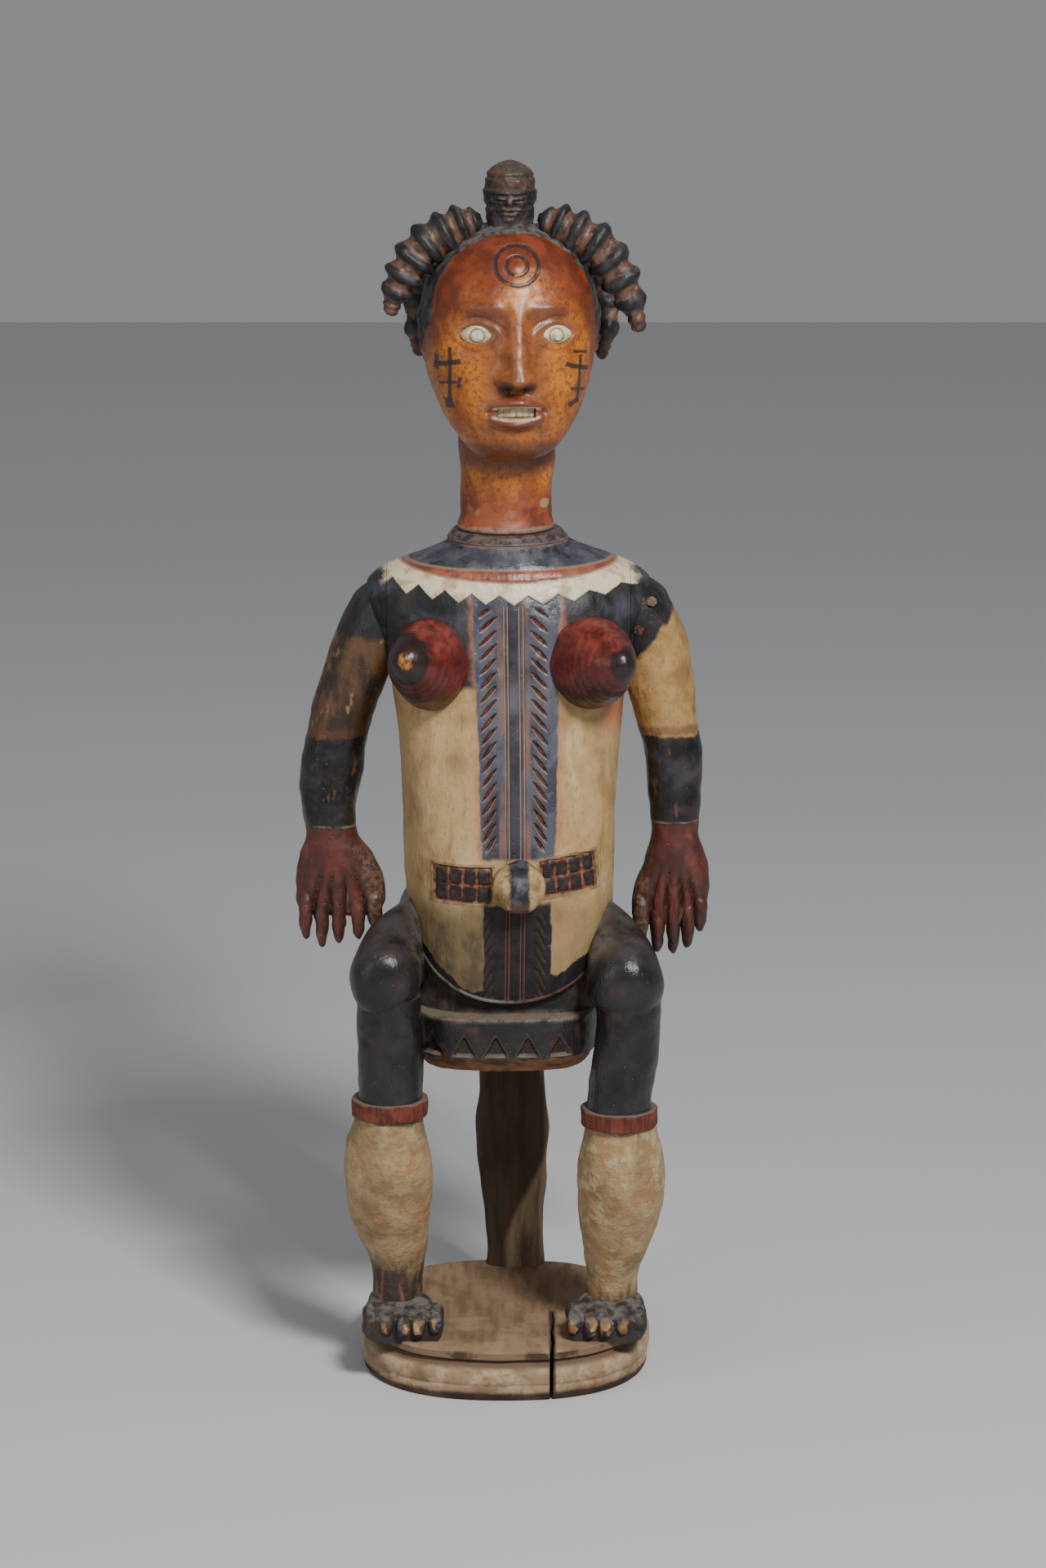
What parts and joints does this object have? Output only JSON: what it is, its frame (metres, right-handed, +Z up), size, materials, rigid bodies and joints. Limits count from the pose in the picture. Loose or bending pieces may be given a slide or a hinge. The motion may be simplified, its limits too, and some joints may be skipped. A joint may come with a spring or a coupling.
{
  "type": "seated figure",
  "caption": "Seated female figure carved in wood and painted, on a round base and stool, with a skin-covered head and ribbed locks of hair.",
  "frame": {"origin": "on the underside of the base, under the middle of its round, where the figure rests", "axes": "+Z up; the figure faces -Y; +X is the figure's own left"},
  "size_m": [0.2945, 0.2213, 0.866],
  "materials": {
    "painted_wood": "worn matt paint, black, cream, red brown and blue, with dust",
    "raw_wood": "raw and dry",
    "head_skin": "glossy mottled hide",
    "pale_inlay": "chalky",
    "hair_wood": "ribbed, black ridges with brown grooves"
  },
  "bodies": {
    "root": {"figure_body": "painted_wood", "right_arm": "painted_wood", "left_arm": "painted_wood", "left_shoulder_peg_upper": "raw_wood", "left_shoulder_peg_lower": "raw_wood", "head": "head_skin", "right_eye": "pale_inlay", "left_eye": "pale_inlay", "teeth": "pale_inlay", "topknot": "hair_wood", "right_hair_horn": "hair_wood", "left_hair_horn": "hair_wood", "right_back_lock": "hair_wood", "left_back_lock": "hair_wood"}
  },
  "joints": []
}
